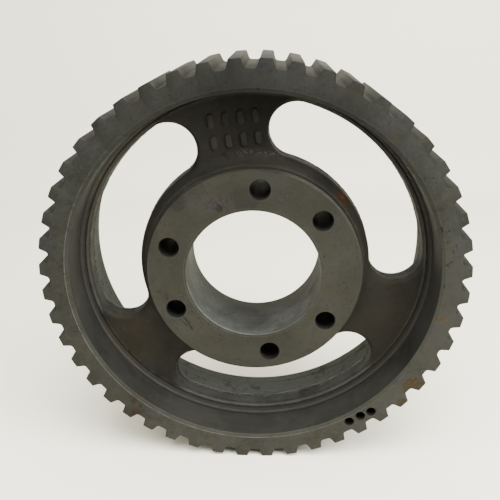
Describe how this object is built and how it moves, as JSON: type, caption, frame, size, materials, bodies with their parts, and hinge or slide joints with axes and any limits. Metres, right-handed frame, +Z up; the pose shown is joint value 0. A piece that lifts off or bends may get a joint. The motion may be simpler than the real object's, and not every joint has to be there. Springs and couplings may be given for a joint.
{
  "type": "timing belt pulley",
  "caption": "Cast iron timing belt pulley with a toothed rim, three open windows and a taper-bored hub drilled for a split bushing.",
  "frame": {"origin": "centre of the pulley, on its axis and midway between the rim's two faces", "axes": "+Y along the axis towards the rear face, +Z up, +X to the right as seen from the front; a belt groove is centred at the bottom"},
  "size_m": [0.3366, 0.0888, 0.3366],
  "materials": {
    "machined_iron": "turned gray iron, dull, with light rust spots",
    "cast_iron_skin": "rough as-cast skin, dark"
  },
  "bodies": {
    "root": {"toothed_rim": "machined_iron", "web_outer_ring": "cast_iron_skin", "web_arm_top": "cast_iron_skin", "web_arm_lower_left": "cast_iron_skin", "web_arm_lower_right": "cast_iron_skin", "web_hub_collar": "cast_iron_skin", "hub": "machined_iron", "cast_marks": "cast_iron_skin"}
  },
  "joints": []
}
